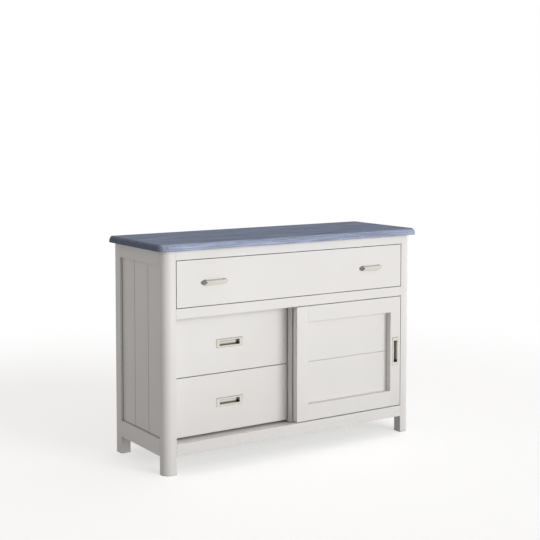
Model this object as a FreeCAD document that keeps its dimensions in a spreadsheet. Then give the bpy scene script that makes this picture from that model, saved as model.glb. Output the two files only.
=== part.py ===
# Sideboard: a stained top on a painted frame, one wide drawer, two small drawers and a sliding door.
#
# X runs to the right, Y to the back and Z up, with the origin on the floor under the middle. All sizes are
# millimetres. Every size that can be set by itself has its own cell in the sheet. The places that follow
# from them are worked out below as lengths that carry their own expression, so each sketch, pad and pocket
# stays bound to the sheet.
import FreeCAD, Part
import math
import os

import Sketcher

os.makedirs("parts", exist_ok=True)

SIZES = {
    # the whole piece
    "overall_width": 1200,
    "overall_depth": 420,
    "overall_height": 845,
    # stained top
    "top_thickness": 25,
    "top_front_overhang": 24,
    "top_side_overhang": 25,
    "top_corner_radius": 42,
    "top_edge_radius": 23,
    "top_edge_drop": 19,
    "top_arris_radius": 2,
    "top_lower_radius": 2.5,
    # posts, which run down as feet
    "front_post_width": 50,
    "front_post_depth": 38,
    "front_post_radius": 32,
    "back_post_width": 40,
    "back_post_depth": 40,
    "foot_clearance": 68,
    # rails across the front
    "front_rail_thickness": 22,
    "top_rail_height": 36,
    "wide_opening_height": 176,
    "middle_rail_height": 38,
    "bottom_rail_height": 44,
    # rails at the sides and the back
    "side_rail_thickness": 22,
    "side_top_rail_height": 55,
    "side_bottom_rail_height": 62,
    "back_rail_thickness": 22,
    "back_rail_height": 55,
    # joints of the frame
    "tenon_length": 15,
    "tenon_thickness": 8,
    "tenon_shoulder": 8,
    "frame_arris": 0.8,
    # boards of the sides
    "side_board_thickness": 12,
    "side_board_recess": 10,
    "panel_groove_depth": 6,
    "panel_groove_clearance": 1,
    "board_bevel": 1.5,
    "board_gap": 0.8,
    "tongue_length": 4,
    "tongue_thickness": 3,
    "tongue_setback": 2,
    "tongue_clearance": 0.5,
    # back, deck, floor, partition and shelf
    "back_panel_thickness": 6,
    "back_panel_inset": 6,
    "board_thickness": 16,
    "floor_drop": 7,
    "batten_width": 20,
    "batten_height": 20,
    "partition_thickness": 18,
    "partition_offset": 16,
    "shelf_height": 232,
    "shelf_clearance": 1,
    "shelf_setback": 12,
    "pin_radius": 2.5,
    "pin_clearance": 0.1,
    "pin_depth": 8,
    "pin_reach": 7,
    "pin_inset": 45,
    # drawer fronts
    "drawer_gap": 2,
    "front_thickness": 20,
    "front_arris": 1.5,
    "small_front_setback": 68,
    "small_front_floor_gap": 8,
    "small_front_spacing": 2.5,
    "small_front_top_gap": 10.5,
    # drawer boxes
    "wide_box_height": 150,
    "wide_box_lift": 4,
    "small_box_lift": 12,
    "small_box_drop": 30,
    "box_side_thickness": 12,
    "box_back_clearance": 14,
    "box_bottom_thickness": 6,
    "box_bottom_lift": 10,
    "box_groove_depth": 6,
    "box_housing_depth": 4,
    # telescopic slides
    "slide_thickness": 12.7,
    "slide_channel_depth": 10.5,
    "slide_height": 45,
    "slide_gauge": 1.2,
    "slide_lip": 4,
    "slide_clearance": 0.3,
    "slide_lift": 40,
    "slide_inset": 2,
    # bow handles
    "handle_length": 114,
    "handle_height": 18,
    "handle_reach": 11,
    "handle_bow": 1.5,
    "handle_crown": 3,
    "handle_strap": 5,
    "handle_end_length": 22,
    "handle_tip_height": 3,
    "handle_tip_depth": 0.8,
    "handle_leaf_radius": 60,
    "handle_outline_radius": 35,
    "handle_gap_slant": 4,
    "handle_inset": 158,
    "handle_screw_spacing": 80,
    "screw_radius": 2,
    "screw_clearance": 0.2,
    "screw_head_radius": 4,
    "screw_head_height": 2.4,
    "screw_grip": 5.5,
    # flush pulls
    "pull_length": 117,
    "pull_height": 32.5,
    "pull_slot_length": 89,
    "pull_slot_height": 19,
    "pull_depth": 15,
    "pull_wall": 1.2,
    "pull_flange": 1.6,
    "pull_corner_radius": 2.5,
    "pull_edge_bevel": 1.1,
    "pull_cup_radius": 2,
    "pull_cutout_clearance": 0.3,
    # sliding door
    "door_thickness": 25,
    "door_lap": 1,
    "door_side_gap": 2,
    "door_top_gap": 3,
    "door_bottom_gap": 4,
    "door_stile_width": 52,
    "door_top_rail_height": 62,
    "door_bottom_rail_height": 63,
    "door_tenon_length": 20,
    "plank_thickness": 10,
    "plank_lap": 12,
    # track, hangers and wheels
    "track_depth": 16.7,
    "track_height": 32,
    "track_wall": 1.5,
    "track_lift": 3,
    "track_slot": 4.3,
    "track_clearance": 0.3,
    "track_end_gap": 1,
    "hanger_thickness": 2,
    "hanger_width": 40,
    "hanger_drop": 40,
    "hanger_inset": 60,
    "hanger_head": 9,
    "hanger_corner_radius": 8,
    "wheel_radius": 10,
    "wheel_width": 7.5,
    "wheel_gap": 1,
    "wheel_running_gap": 0.2,
    "axle_radius": 2,
    "axle_clearance": 0.1,
    "axle_head_radius": 3.5,
    "axle_head_height": 1,
    # guide blocks at the foot of the door
    "guide_width": 30,
    "guide_height": 34,
    "guide_reach": 20,
    "guide_thickness": 11,
    "guide_clearance": 0.5,
    "guide_inset": 60,
}


class Length:
    """A length that carries both the expression that gives it and its value now."""

    def __init__(self, text, value):
        self.text = text
        self.value = float(value)

    def __add__(self, other):
        other = length(other)
        return Length(f"({self.text} + {other.text})", self.value + other.value)

    def __sub__(self, other):
        other = length(other)
        return Length(f"({self.text} - {other.text})", self.value - other.value)

    def __mul__(self, other):
        other = length(other)
        return Length(f"({self.text} * {other.text})", self.value * other.value)

    def __truediv__(self, other):
        other = length(other)
        return Length(f"({self.text} / {other.text})", self.value / other.value)

    def __neg__(self):
        return Length(f"(0 - {self.text})", -self.value)

    __radd__ = __add__
    __rmul__ = __mul__

    def __rsub__(self, other):
        return length(other) - self


def length(value):
    """The value as a Length, if it is still a plain number."""
    if isinstance(value, Length):
        return value
    return Length(repr(float(value)), value)


doc = FreeCAD.newDocument("Sideboard")
sheet = doc.addObject("Spreadsheet::Sheet", "Sizes")
for row, (alias, number) in enumerate(SIZES.items(), 1):
    sheet.set(f"A{row}", alias)
    sheet.set(f"B{row}", str(number))
    sheet.setAlias(f"B{row}", alias)
doc.recompute()


def size(alias):
    """The length in the sheet's cell of that name."""
    return Length(f"Sizes.{alias}", SIZES[alias])


# Helpers that build bodies
UP = FreeCAD.Vector(0, 0, 1)
PLANES = {
    # plane: its role in the body's origin, and which way its normal points along the world axis
    "XY": ("XY_Plane", 1),
    "XZ": ("XZ_Plane", -1),
    "YZ": ("YZ_Plane", 1),
}
CLOSE = 0.001
# the top's thickness over how far its edge cutter reaches past the board
WASTE_SHARE = 5


def new_body(name):
    """An empty body whose label names the piece."""
    body = doc.addObject("PartDesign::Body", name)
    body.Label = name
    return body


def new_sketch(body, name, plane, at):
    """A sketch on the body's own plane, at that place along the plane's axis."""
    role, way = PLANES[plane]
    sketch = body.newObject("Sketcher::SketchObject", f"{body.Name}_{name}_sketch")
    base = next(f for f in body.Origin.OriginFeatures if f.Role == role)
    sketch.AttachmentSupport = (base, "")
    sketch.MapMode = "FlatFace"
    offset = length(at) if way > 0 else -length(at)
    sketch.setExpression("AttachmentOffset.Base.z", offset.text)
    return sketch


def bind(sketch, number, value):
    """Ties a sketch's constraint to the expression of a length."""
    sketch.setExpression(f"Constraints[{number}]", value.text)


def pin_point(sketch, line, point, centre=False):
    """Ties the start of a line or arc, or the centre of a circle or arc, by distances from the origin."""
    vertex = 3 if centre else 1
    for kind, place in zip(("DistanceX", "DistanceY"), point):
        distance = Sketcher.Constraint(kind, -1, 1, line, vertex, place.value)
        bind(sketch, sketch.addConstraint(distance), place)


def draw_polygon(sketch, points):
    """A closed outline of straight lines through the points."""
    points = [(length(x), length(y)) for x, y in points]
    spots = [FreeCAD.Vector(x.value, y.value, 0) for x, y in points]
    first = sketch.GeometryCount
    for here, there in zip(spots, spots[1:] + spots[:1]):
        sketch.addGeometry(Part.LineSegment(here, there), False)
    for n in range(len(points)):
        after = (n + 1) % len(points)
        sketch.addConstraint(Sketcher.Constraint("Coincident", first + n, 2, first + after, 1))
    for n, point in enumerate(points):
        pin_point(sketch, first + n, point)


def draw_box(sketch, low, high):
    """A rectangle from its low corner to its high corner."""
    draw_polygon(sketch, [low, (high[0], low[1]), high, (low[0], high[1])])


def draw_circle(sketch, centre, radius):
    """A circle, tied by its centre and its radius."""
    x, y = (length(place) for place in centre)
    radius = length(radius)
    middle = FreeCAD.Vector(x.value, y.value, 0)
    circle = sketch.addGeometry(Part.Circle(middle, UP, radius.value), False)
    pin_point(sketch, circle, (x, y), centre=True)
    bind(sketch, sketch.addConstraint(Sketcher.Constraint("Radius", circle, radius.value)), radius)


def draw_outline(sketch, corners):
    """A closed convex outline, anticlockwise. Each corner gives x, y and the radius of the edge after it.

    An edge with a radius is an arc that bulges outwards, and one with None is straight.
    """
    corners = [(length(x), length(y), radius) for x, y, radius in corners]
    first = sketch.GeometryCount
    for (x, y, radius), (next_x, next_y, _) in zip(corners, corners[1:] + corners[:1]):
        start = FreeCAD.Vector(x.value, y.value, 0)
        end = FreeCAD.Vector(next_x.value, next_y.value, 0)
        if radius is None:
            sketch.addGeometry(Part.LineSegment(start, end), False)
            continue
        chord = end - start
        inwards = FreeCAD.Vector(-chord.y, chord.x, 0).normalize()
        rise = math.sqrt(radius.value**2 - chord.Length**2 / 4)
        centre = start + chord / 2 + inwards * rise
        ring = Part.Circle(centre, UP, radius.value)
        angles = [math.atan2(spot.y - centre.y, spot.x - centre.x) for spot in (start, end)]
        sketch.addGeometry(Part.ArcOfCircle(ring, *angles), False)
    for number, (x, y, radius) in enumerate(corners):
        after = first + (number + 1) % len(corners)
        sketch.addConstraint(Sketcher.Constraint("Coincident", first + number, 2, after, 1))
        pin_point(sketch, first + number, (x, y))
        if radius is not None:
            arc = Sketcher.Constraint("Radius", first + number, radius.value)
            bind(sketch, sketch.addConstraint(arc), radius)


def add_feature(body, kind, name, sketch, low, high):
    """A pad or pocket of the sketch between two places along the plane's axis."""
    feature = body.newObject(f"PartDesign::{kind}", f"{body.Name}_{name}")
    feature.Profile = sketch
    feature.setExpression("Length", (length(high) - length(low)).text)
    sketch.Visibility = False
    body.Tip = feature
    return feature


def pad(body, name, plane, low, high, draw):
    """Material between low and high, with the outline that draw makes in the sketch."""
    start = low if PLANES[plane][1] > 0 else high
    sketch = new_sketch(body, name, plane, start)
    draw(sketch)
    return add_feature(body, "Pad", name, sketch, low, high)


def pocket(body, name, plane, low, high, draw):
    """A cut between low and high, with the outline that draw makes in the sketch."""
    start = high if PLANES[plane][1] > 0 else low
    sketch = new_sketch(body, name, plane, start)
    draw(sketch)
    return add_feature(body, "Pocket", name, sketch, low, high)


def cut_boxes(body, name, boxes):
    """One pocket for each box, given as its x, y and z ranges."""
    for number, (x, y, z) in enumerate(boxes, 1):
        corners = (x[0], y[0]), (x[1], y[1])
        pocket(body, f"{name}_{number}", "XY", z[0], z[1], lambda s: draw_box(s, *corners))


def block(name, x, y, z):
    """A body that fills the x, y and z ranges given."""
    body = new_body(name)
    pad(body, "blank", "XY", z[0], z[1], lambda s: draw_box(s, (x[0], y[0]), (x[1], y[1])))
    return body


def edges_at(feature, **places):
    """Names of the feature's edges that lie wholly in every plane given, such as x=left, y=front."""
    names = []
    for number, edge in enumerate(feature.Shape.Edges, 1):
        box = edge.BoundBox
        spans = {"x": (box.XMin, box.XMax), "y": (box.YMin, box.YMax), "z": (box.ZMin, box.ZMax)}
        misses = [abs(end - length(at).value) for axis, at in places.items() for end in spans[axis]]
        if max(misses) < CLOSE:
            names.append(f"Edge{number}")
    return names


def round_edges(body, name, radius, *corners, kind="Fillet"):
    """A fillet, or a chamfer, on the edges of the body's last feature that lie in the planes given."""
    doc.recompute()
    base = body.Tip
    names = []
    for places in corners:
        names += [edge for edge in edges_at(base, **places) if edge not in names]
    feature = body.newObject(f"PartDesign::{kind}", f"{body.Name}_{name}")
    feature.Base = (base, names)
    feature.setExpression("Radius" if kind == "Fillet" else "Size", length(radius).text)
    body.Tip = feature
    return feature


def group(name, members):
    """One node that holds several separate solids."""
    compound = doc.addObject("Part::Compound", name)
    compound.Label = name
    compound.Links = members
    return compound


# Places in the frame, all from the sheet
half_width = size("overall_width") / 2
case_half = half_width - size("top_side_overhang")
back = size("overall_depth") / 2
front = size("top_front_overhang") - back
top_face = size("overall_height")
top_underside = top_face - size("top_thickness")

foot = size("foot_clearance")
bottom_rail_top = foot + size("bottom_rail_height")
top_rail_low = top_underside - size("top_rail_height")
middle_rail_top = top_rail_low - size("wide_opening_height")
middle_rail_low = middle_rail_top - size("middle_rail_height")

post_inner = case_half - size("front_post_width")
front_post_back = front + size("front_post_depth")
back_post_inner = case_half - size("back_post_width")
back_post_front = back - size("back_post_depth")
side_inner = case_half - size("side_rail_thickness")
board_outer = case_half - size("side_board_recess")
board_inner = board_outer - size("side_board_thickness")

front_rail_back = front + size("front_rail_thickness")
track_back = front_rail_back + size("track_depth")
inner_front = track_back + size("track_clearance")
back_panel_back = back - size("back_panel_inset")
back_panel_front = back_panel_back - size("back_panel_thickness")
back_rail_front = back - size("back_rail_thickness")

floor_top = bottom_rail_top - size("floor_drop")
floor_low = floor_top - size("board_thickness")
floor_front = front_rail_back + size("guide_thickness") + 2 * size("guide_clearance")
deck_low = middle_rail_low
deck_top = deck_low + size("board_thickness")
partition_left = size("partition_offset") - size("partition_thickness") / 2
partition_right = size("partition_offset") + size("partition_thickness") / 2

groove = size("panel_groove_depth")
panel_reach = groove - size("panel_groove_clearance")
tenon = size("tenon_length")
nodes = {}


def keep(piece):
    """Lists a finished piece under its label, which names its file."""
    nodes[piece.Label] = piece
    return piece


def on_side(side, near, far):
    """A range of x measured outwards from the middle, on the left (-1) or the right (1), low end first."""
    near = length(near)
    far = length(far)
    return (near, far) if side > 0 else (-far, -near)


def centred(middle, thickness):
    """The range of that thickness about a middle."""
    half = length(thickness) / 2
    return middle - half, middle + half


def between_shoulders(z):
    """A rail's height less the shoulder above and below its tenon."""
    return z[0] + size("tenon_shoulder"), z[1] - size("tenon_shoulder")


SIDES = {"left": -1, "right": 1}
SIDE_BOARDS = 3
DOOR_PLANKS = 2
DRAWER_NAMES = {"top": "top_drawer", "upper": "upper_drawer", "lower": "lower_drawer"}
FRONT_RAILS = {
    "front_top_rail": (top_rail_low, top_underside),
    "middle_rail": (middle_rail_low, middle_rail_top),
    "bottom_rail": (foot, bottom_rail_top),
}
SIDE_RAILS = {
    "top_rail": (top_underside - size("side_top_rail_height"), top_underside),
    "bottom_rail": (foot, foot + size("side_bottom_rail_height")),
}
BACK_RAILS = {
    "top_back_rail": (top_underside - size("back_rail_height"), top_underside),
    "bottom_back_rail": (foot, foot + size("back_rail_height")),
}
# the tenons' thickness, which the mortises share, and the grooves that hold the boards and the back panel
front_tenon_y = centred(front + size("front_rail_thickness") / 2, size("tenon_thickness"))
side_tenon_x = centred(case_half - size("side_rail_thickness") / 2, size("tenon_thickness"))
back_tenon_y = centred(back - size("back_rail_thickness") / 2, size("tenon_thickness"))
side_panel_z = (SIDE_RAILS["bottom_rail"][1], SIDE_RAILS["top_rail"][0])
back_panel_z = (BACK_RAILS["bottom_back_rail"][1], BACK_RAILS["top_back_rail"][0])


# Stained top
def make_top():
    """The stained top, with rounded front corners, a thumbnail edge on three sides and softened arrises."""
    body = new_body("top_board")
    low, high = (-half_width, -back), (half_width, back)
    pad(body, "slab", "XY", top_underside, top_face, lambda s: draw_box(s, low, high))
    corner = size("top_corner_radius")
    waste = size("top_thickness") / WASTE_SHARE
    round_edges(body, "corners", corner, {"x": -half_width, "y": -back}, {"x": half_width, "y": -back})
    lower = round_edges(body, "lower_arris", size("top_lower_radius"), {"z": top_underside})
    rear = edges_at(lower.Base[0], z=top_underside, y=back)
    lower.Base = (lower.Base[0], [edge for edge in lower.Base[1] if edge not in rear])

    # the way that the thumbnail runs: the left edge, the front with its rounded corners, and the right edge
    past_back = back + waste
    path = new_sketch(body, "edge_path", "XY", top_face)
    spots = [
        (-half_width, past_back),
        (-half_width, corner - back),
        (corner - half_width, -back),
        (half_width - corner, -back),
        (half_width, corner - back),
    ]
    points = [FreeCAD.Vector(x.value, y.value, 0) for x, y in spots]
    end = FreeCAD.Vector(half_width.value, past_back.value, 0)
    turn = corner.value
    left_middle = FreeCAD.Vector(points[2].x, points[1].y, 0)
    right_middle = FreeCAD.Vector(points[3].x, points[4].y, 0)
    left_circle = Part.Circle(left_middle, UP, turn)
    right_circle = Part.Circle(right_middle, UP, turn)
    path.addGeometry(Part.LineSegment(points[0], points[1]), False)
    path.addGeometry(Part.ArcOfCircle(left_circle, math.pi, 1.5 * math.pi), False)
    path.addGeometry(Part.LineSegment(points[2], points[3]), False)
    path.addGeometry(Part.ArcOfCircle(right_circle, 1.5 * math.pi, 2 * math.pi), False)
    path.addGeometry(Part.LineSegment(points[4], end), False)
    for number in range(4):
        path.addConstraint(Sketcher.Constraint("Coincident", number, 2, number + 1, 1))
    for number, spot in enumerate(spots):
        pin_point(path, number, spot)
    for arc in (1, 3):
        bind(path, path.addConstraint(Sketcher.Constraint("Radius", arc, turn)), corner)
    reach = Sketcher.Constraint("DistanceY", -1, 1, 4, 2, past_back.value)
    bind(path, path.addConstraint(reach), past_back)
    path.addConstraint(Sketcher.Constraint("Vertical", 4))

    # the waste outside the thumbnail: an arc that leaves the edge upright and meets the top at an arris
    profile = new_sketch(body, "edge_profile", "XZ", past_back)
    radius = size("top_edge_radius")
    edge_low = top_face - size("top_edge_drop")
    outside = -half_width - waste
    above = top_face + waste
    lean = math.asin(size("top_edge_drop").value / radius.value)
    middle = FreeCAD.Vector((radius - half_width).value, edge_low.value, 0)
    arris = middle + FreeCAD.Vector(-radius.value * math.cos(lean), radius.value * math.sin(lean), 0)
    corners = [
        FreeCAD.Vector(-half_width.value, edge_low.value, 0),
        FreeCAD.Vector(outside.value, edge_low.value, 0),
        FreeCAD.Vector(outside.value, above.value, 0),
        FreeCAD.Vector(arris.x, above.value, 0),
        arris,
    ]
    for here, there in zip(corners, corners[1:]):
        profile.addGeometry(Part.LineSegment(here, there), False)
    circle = Part.Circle(middle, UP, radius.value)
    profile.addGeometry(Part.ArcOfCircle(circle, math.pi - lean, math.pi), False)
    for number in range(3):
        profile.addConstraint(Sketcher.Constraint("Coincident", number, 2, number + 1, 1))
    profile.addConstraint(Sketcher.Constraint("Coincident", 3, 2, 4, 1))
    profile.addConstraint(Sketcher.Constraint("Coincident", 4, 2, 0, 1))
    for number, spot in enumerate([(-half_width, edge_low), (outside, edge_low), (outside, above)]):
        pin_point(profile, number, spot)
    profile.addConstraint(Sketcher.Constraint("Horizontal", 2))
    profile.addConstraint(Sketcher.Constraint("Vertical", 3))
    height = Sketcher.Constraint("DistanceY", -1, 1, 4, 1, top_face.value)
    bind(profile, profile.addConstraint(height), top_face)
    pin_point(profile, 4, (radius - half_width, edge_low), centre=True)

    edge = body.newObject("PartDesign::SubtractivePipe", "top_board_thumbnail_edge")
    edge.Profile = profile
    edge.Spine = (path, [f"Edge{number}" for number in range(1, 6)])
    body.Tip = edge
    doc.recompute()
    arris_edges = edges_at(edge, z=top_face)
    rear = edges_at(edge, z=top_face, y=back)
    soft = body.newObject("PartDesign::Fillet", "top_board_upper_arris")
    soft.Base = (edge, [name for name in arris_edges if name not in rear])
    soft.setExpression("Radius", size("top_arris_radius").text)
    body.Tip = soft
    return keep(body)


# Frame: posts and rails with their mortises, tenons and grooves
def make_front_post(side_name, side):
    """A front post with a large rounded outer corner, mortised for three front rails and two side rails."""
    x = on_side(side, post_inner, case_half)
    body = block(f"front_{side_name}_post", x, (front, front_post_back), (0, top_underside))
    outer, inner = (x[0], x[1]) if side < 0 else (x[1], x[0])
    round_edges(body, "corner", size("front_post_radius"), {"x": outer, "y": front})
    edges = [{"x": inner, "y": front}, {"x": outer, "y": front_post_back}]
    round_edges(body, "arris", size("frame_arris"), *edges)
    mortise_x = on_side(side, post_inner, post_inner + tenon)
    mortises = [(mortise_x, front_tenon_y, between_shoulders(z)) for z in FRONT_RAILS.values()]
    cut_boxes(body, "mortise", mortises)
    y = (front_post_back - tenon, front_post_back)
    cut_side_joints(body, side, y, (front_post_back - groove, front_post_back))
    return keep(body)


def make_back_post(side_name, side):
    """A square back post, mortised for the back and side rails and grooved for the back panel."""
    x = on_side(side, back_post_inner, case_half)
    body = block(f"back_{side_name}_post", x, (back_post_front, back), (0, top_underside))
    outer = x[0] if side < 0 else x[1]
    edges = [{"x": outer, "y": back_post_front}, {"x": outer, "y": back}]
    round_edges(body, "arris", size("frame_arris"), *edges)
    mortise_x = on_side(side, back_post_inner, back_post_inner + tenon)
    mortises = [(mortise_x, back_tenon_y, between_shoulders(z)) for z in BACK_RAILS.values()]
    cut_boxes(body, "mortise", mortises)
    groove_x = on_side(side, back_post_inner, back_post_inner + groove)
    groove_z = (back_panel_z[0] - groove, back_panel_z[1] + groove)
    cut_boxes(body, "panel_groove", [(groove_x, (back_panel_front, back_panel_back), groove_z)])
    mortise_y = (back_post_front, back_post_front + tenon)
    cut_side_joints(body, side, mortise_y, (back_post_front, back_post_front + groove))
    return keep(body)


def cut_side_joints(body, side, mortise_y, groove_y):
    """The mortises for the two side rails and the groove for the side's boards."""
    mortise_x = on_side(side, *side_tenon_x)
    boards_x = on_side(side, board_inner, board_outer)
    mortises = [(mortise_x, mortise_y, between_shoulders(z)) for z in SIDE_RAILS.values()]
    cut_boxes(body, "side_mortise", mortises)
    groove_z = (side_panel_z[0] - groove, side_panel_z[1] + groove)
    cut_boxes(body, "board_groove", [(boards_x, groove_y, groove_z)])


def make_front_rail(name, z):
    """A rail between the front posts, with a tenon at each end."""
    body = block(name, (-post_inner, post_inner), (front, front_rail_back), z)
    reach = post_inner + tenon
    low = (-reach, front_tenon_y[0])
    high = (reach, front_tenon_y[1])
    round_edges(body, "arris", size("frame_arris"), {"y": front, "z": z[0]}, {"y": front, "z": z[1]})
    pad(body, "tenons", "XY", *between_shoulders(z), lambda s: draw_box(s, low, high))
    return keep(body)


def make_side_rail(side_name, side, name, z):
    """A rail between a front and a back post, rebated on the inside for the boards."""
    x = on_side(side, side_inner, case_half)
    body = block(f"{side_name}_{name}", x, (front_post_back, back_post_front), z)
    outer = x[0] if side < 0 else x[1]
    inside = z[0] if name == "top_rail" else z[1]
    round_edges(body, "arris", size("frame_arris"), {"x": outer, "z": inside})
    tenon_x = on_side(side, *side_tenon_x)
    low = (tenon_x[0], front_post_back - tenon)
    high = (tenon_x[1], back_post_front + tenon)
    pad(body, "tenons", "XY", *between_shoulders(z), lambda s: draw_box(s, low, high))
    rebate_z = (z[0], z[0] + groove) if name == "top_rail" else (z[1] - groove, z[1])
    boards_x = on_side(side, board_inner, board_outer)
    cut_boxes(body, "rebate", [(boards_x, (front_post_back, back_post_front), rebate_z)])
    return keep(body)


def make_back_rails():
    """The two rails between the back posts, each grooved for the back panel."""
    rails = []
    for name, z in BACK_RAILS.items():
        body = block(name, (-back_post_inner, back_post_inner), (back_rail_front, back), z)
        reach = back_post_inner + tenon
        low = (-reach, back_tenon_y[0])
        high = (reach, back_tenon_y[1])
        pad(body, "tenons", "XY", *between_shoulders(z), lambda s: draw_box(s, low, high))
        groove_z = (z[0], z[0] + groove) if name == "top_back_rail" else (z[1] - groove, z[1])
        x = (-back_post_inner, back_post_inner)
        cut_boxes(body, "panel_groove", [(x, (back_panel_front, back_panel_back), groove_z)])
        rails.append(body)
    return keep(group("back_rails", rails))


def make_back_panel():
    """The thin back, held in the grooves of the back posts and rails."""
    reach = back_post_inner + panel_reach
    z = (back_panel_z[0] - panel_reach, back_panel_z[1] + panel_reach)
    return keep(block("back_panel", (-reach, reach), (back_panel_front, back_panel_back), z))


# Boards with V-grooves between them, for the sides and the door
def board_outline(across, out, tongue, slot):
    """The section of one board, with bevels at its joints, a tongue at its low edge and a slot at its high.

    across is the range over the board's width and out the range over its thickness, back first, so the
    section has the same turn whichever way the face looks. Returns points as (across, out) pairs. Between
    two boards' edges a narrow gap shows as a dark line.
    """
    low, high = across
    rear, face = out
    way = 1 if face.value > rear.value else -1
    bevel = size("board_bevel")
    tongue_back = rear + way * size("tongue_setback")
    tongue_front = tongue_back + way * size("tongue_thickness")
    back_of_bevel = face - way * bevel
    reach = low - size("tongue_length")
    if tongue:
        low = low + size("board_gap")
    points = [(low, rear)]
    if tongue:
        points += [(low, tongue_back), (reach, tongue_back), (reach, tongue_front), (low, tongue_front)]
        points += [(low, back_of_bevel), (low + bevel, face)]
    else:
        points += [(low, face)]
    if slot:
        reach = high - size("tongue_length") - size("tongue_clearance")
        points += [(high - bevel, face), (high, back_of_bevel)]
        points += [(high, tongue_front), (reach, tongue_front), (reach, tongue_back), (high, tongue_back)]
    else:
        points += [(high, face)]
    points += [(high, rear)]
    return points


def make_side_boards(side_name, side):
    """Three upright boards between the posts and rails, with holes for the shelf's pins on the right."""
    low = front_post_back - panel_reach
    width = (back_post_front + panel_reach - low) / SIDE_BOARDS
    z = (side_panel_z[0] - panel_reach, side_panel_z[1] + panel_reach)
    sign = 1 if side > 0 else -1
    out = (sign * board_inner, sign * board_outer)
    boards = []
    for number in range(SIDE_BOARDS):
        across = (low + number * width, low + (number + 1) * width)
        points = board_outline(across, out, tongue=number > 0, slot=number < SIDE_BOARDS - 1)
        body = new_body(f"{side_name}_side_board_{number + 1}")
        pad(body, "board", "XY", *z, lambda s: draw_polygon(s, [(x, y) for y, x in points]))
        boards.append(body)
    if side > 0:
        for body, y in zip((boards[0], boards[-1]), PIN_Y):
            drill_pin(body, board_inner, board_inner + size("pin_depth"), y)
    return keep(group(f"{side_name}_side_boards", boards))


# Inside of the case
def make_floor():
    """The floor between the rails, notched round the four posts and set back behind the door's guides."""
    z = (floor_low, floor_top)
    body = block("floor_board", (-side_inner, side_inner), (floor_front, back_rail_front), z)
    notches = []
    for side in SIDES.values():
        front_y = (floor_front, front_post_back)
        back_y = (back_post_front, back_rail_front)
        notches.append((on_side(side, post_inner, side_inner), front_y, z))
        notches.append((on_side(side, back_post_inner, side_inner), back_y, z))
    cut_boxes(body, "notch", notches)
    return keep(body)


def make_deck():
    """The deck under the wide drawer, behind the door's track and notched round the back posts."""
    z = (deck_low, deck_top)
    body = block("drawer_deck", (-side_inner, side_inner), (inner_front, back_panel_front), z)
    y = (back_post_front, back_panel_front)
    notches = [(on_side(side, back_post_inner, side_inner), y, z) for side in SIDES.values()]
    cut_boxes(body, "notch", notches)
    return keep(body)


def make_partition():
    """The upright between the small drawers and the cupboard, notched round the low back rail."""
    x = (partition_left, partition_right)
    body = block("partition", x, (inner_front, back_panel_front), (floor_top, deck_low))
    rail_top = BACK_RAILS["bottom_back_rail"][1]
    cut_boxes(body, "notch", [(x, (back_rail_front, back_panel_front), (floor_top, rail_top))])
    for y in PIN_Y:
        drill_pin(body, partition_right - size("pin_depth"), partition_right, y)
    return keep(body)


def drill_pin(body, low, high, y):
    """A blind hole for one of the shelf's pins."""
    place = "front" if y is PIN_Y[0] else "back"
    radius = size("pin_radius") + size("pin_clearance")
    pocket(body, f"{place}_pin_hole", "YZ", low, high, lambda s: draw_circle(s, (y, pin_z), radius))


def make_shelf():
    """The cupboard's loose shelf, notched round the back post, and the four pins that carry it."""
    gap = size("shelf_clearance")
    x = (partition_right + gap, board_inner - gap)
    y = (shelf_front, back_panel_front - gap)
    z = (shelf_low, shelf_low + size("board_thickness"))
    body = block("cupboard_shelf", x, y, z)
    cut_boxes(body, "notch", [((back_post_inner - gap, x[1]), (back_post_front - gap, y[1]), z)])
    keep(body)
    pins = []
    ends = {
        "left": (partition_right - size("pin_depth"), partition_right + size("pin_reach")),
        "right": (board_inner - size("pin_reach"), board_inner + size("pin_depth")),
    }
    for end, span in ends.items():
        for place, pin_y in zip(("front", "back"), PIN_Y):
            pin = new_body(f"shelf_pin_{end}_{place}")
            pad(pin, "pin", "YZ", *span, lambda s: draw_circle(s, (pin_y, pin_z), size("pin_radius")))
            pins.append(pin)
    keep(group("shelf_pins", pins))


def make_battens():
    """The packers that the slides are screwed to, and the battens under the deck and the floor.

    An upright packer closes the gap between the left post and the small drawers' fronts.
    """
    y = (front_post_back, back_post_front)
    beside_recess = (front_post_back, small_front_y[1])
    behind_recess = (small_front_y[1], back_post_front)
    packer_x = (-board_inner, -post_inner)
    pieces = [block("recess_packer", packer_x, beside_recess, (floor_top, deck_low))]
    half = size("slide_height") / 2
    heights = {"left": {"top": wide_slide_z, "upper": upper_slide_z, "lower": lower_slide_z},
               "right": {"top": wide_slide_z}}
    for side_name, side in SIDES.items():
        for name, z in heights[side_name].items():
            x = on_side(side, post_inner, board_inner)
            depth = y if name == "top" else behind_recess
            pieces.append(block(f"{side_name}_{name}_bearer", x, depth, (z - half, z + half)))
        x = on_side(side, board_inner - size("batten_width"), board_inner)
        for name, depth, top in (("deck", behind_recess, deck_low), ("floor", y, floor_low)):
            z = (top - size("batten_height"), top)
            pieces.append(block(f"{side_name}_{name}_batten", x, depth, z))
    return keep(group("side_battens", pieces))


def make_track():
    """The folded track that the door's wheels run in, behind the middle rail."""
    low = middle_rail_low + size("track_lift")
    top = low + size("track_height")
    wall = size("track_wall")
    lip = front_rail_back + wall + size("track_slot")
    reach = post_inner - size("track_end_gap")
    section = [
        (front_rail_back, low),
        (front_rail_back, top),
        (track_back, top),
        (track_back, low),
        (lip, low),
        (lip, low + wall),
        (track_back - wall, low + wall),
        (track_back - wall, top - wall),
        (front_rail_back + wall, top - wall),
        (front_rail_back + wall, low),
    ]
    body = new_body("door_track")
    pad(body, "section", "YZ", -reach, reach, lambda s: draw_polygon(s, section))
    return keep(body)


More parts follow.
